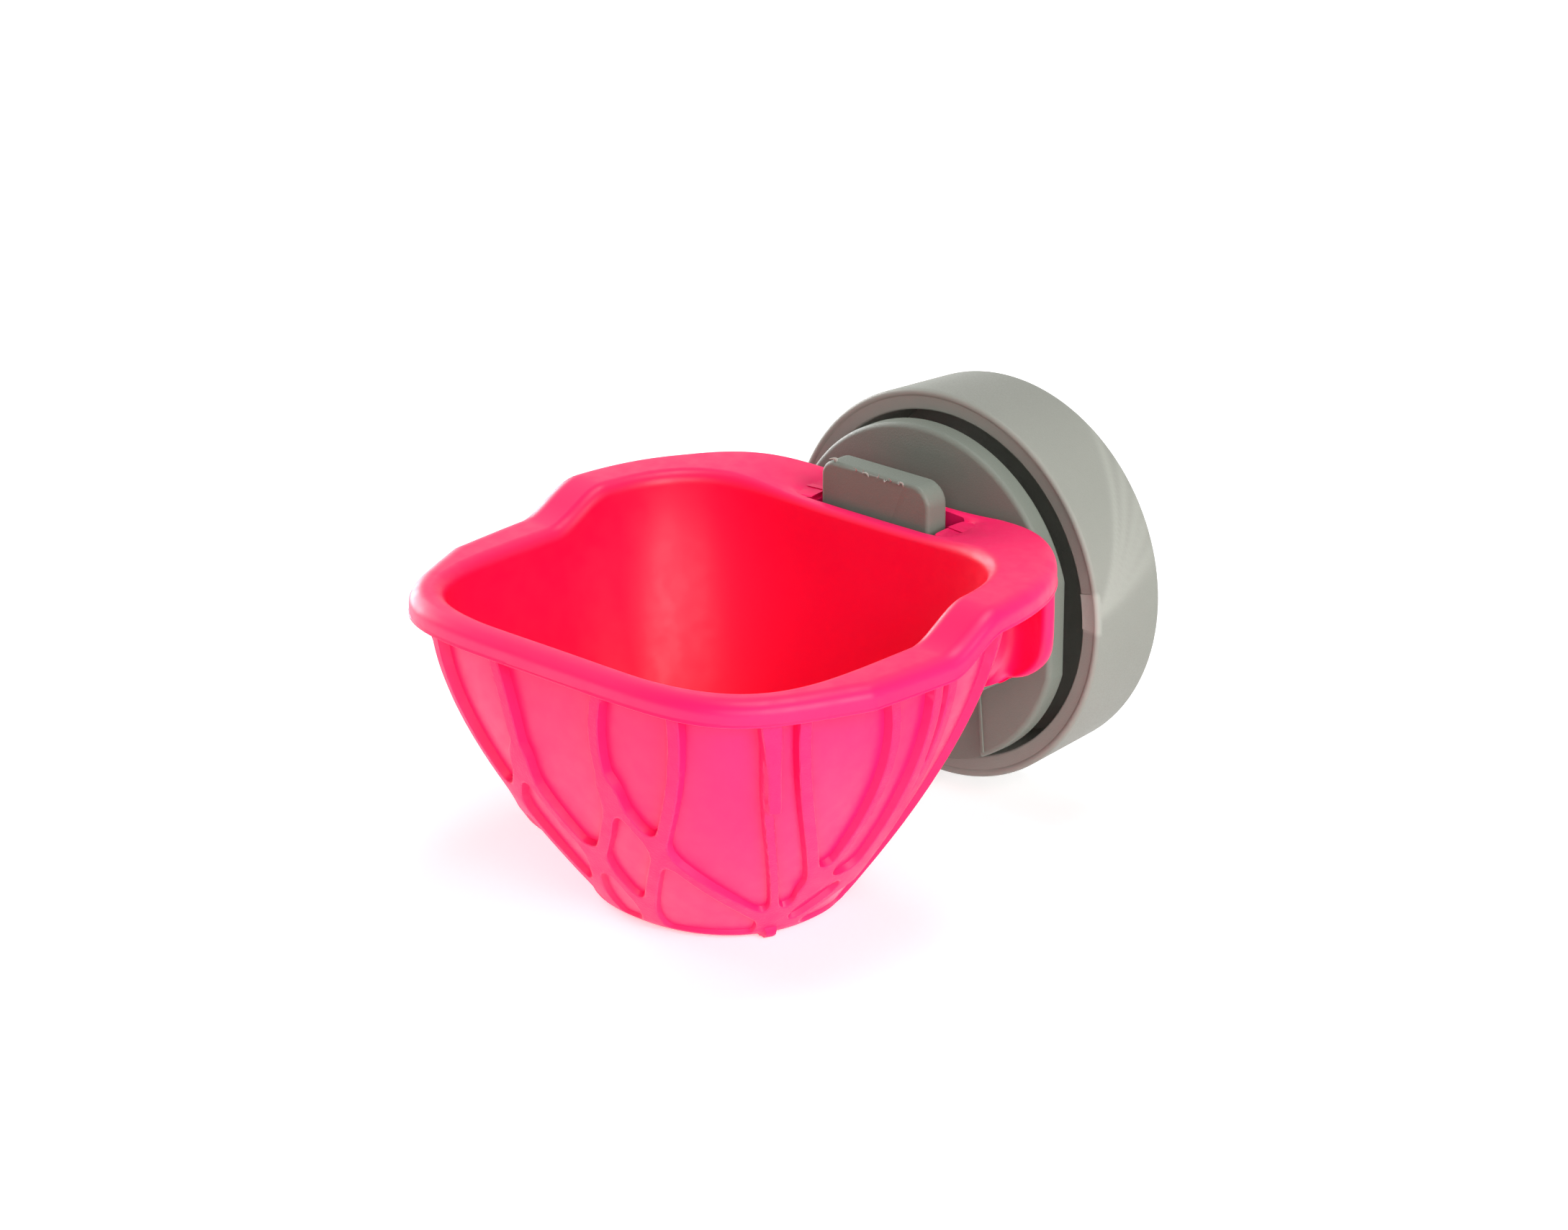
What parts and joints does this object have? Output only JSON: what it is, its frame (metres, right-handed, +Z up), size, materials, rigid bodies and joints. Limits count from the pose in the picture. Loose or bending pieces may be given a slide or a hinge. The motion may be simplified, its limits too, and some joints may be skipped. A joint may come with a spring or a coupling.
{
  "type": "bird feeder cup",
  "caption": "Ribbed plastic feeder cup for a bird cage: its rear slot hangs on the tongue of a round holder, which a screw cap clamps to the cage bars.",
  "frame": {"origin": "on the stud's axis in the rear face of the holder's disc, where the cage bars are gripped", "axes": "+Z up; -Y into the cage, towards the cup's front; +Y out through the bars, towards the cap's back"},
  "size_m": [0.0986, 0.116, 0.0737],
  "materials": {
    "cup_plastic": "glossy pink moulding",
    "holder_plastic": "satin grey moulding",
    "cap_plastic": "satin pale grey moulding"
  },
  "bodies": {
    "holder": {"holder_plate": "holder_plastic"},
    "cup": {"feeder_cup": "cup_plastic"},
    "cap": {"clamp_cap": "cap_plastic"}
  },
  "joints": [
    {"name": "cup_lift", "type": "slide", "parent": "holder", "child": "cup", "axis": [0, 0, 1], "range_m": [0, 0.03]},
    {"name": "cap_unscrew", "type": "slide", "parent": "holder", "child": "cap", "axis": [0, 1, 0], "range_m": [0, 0.01]}
  ]
}
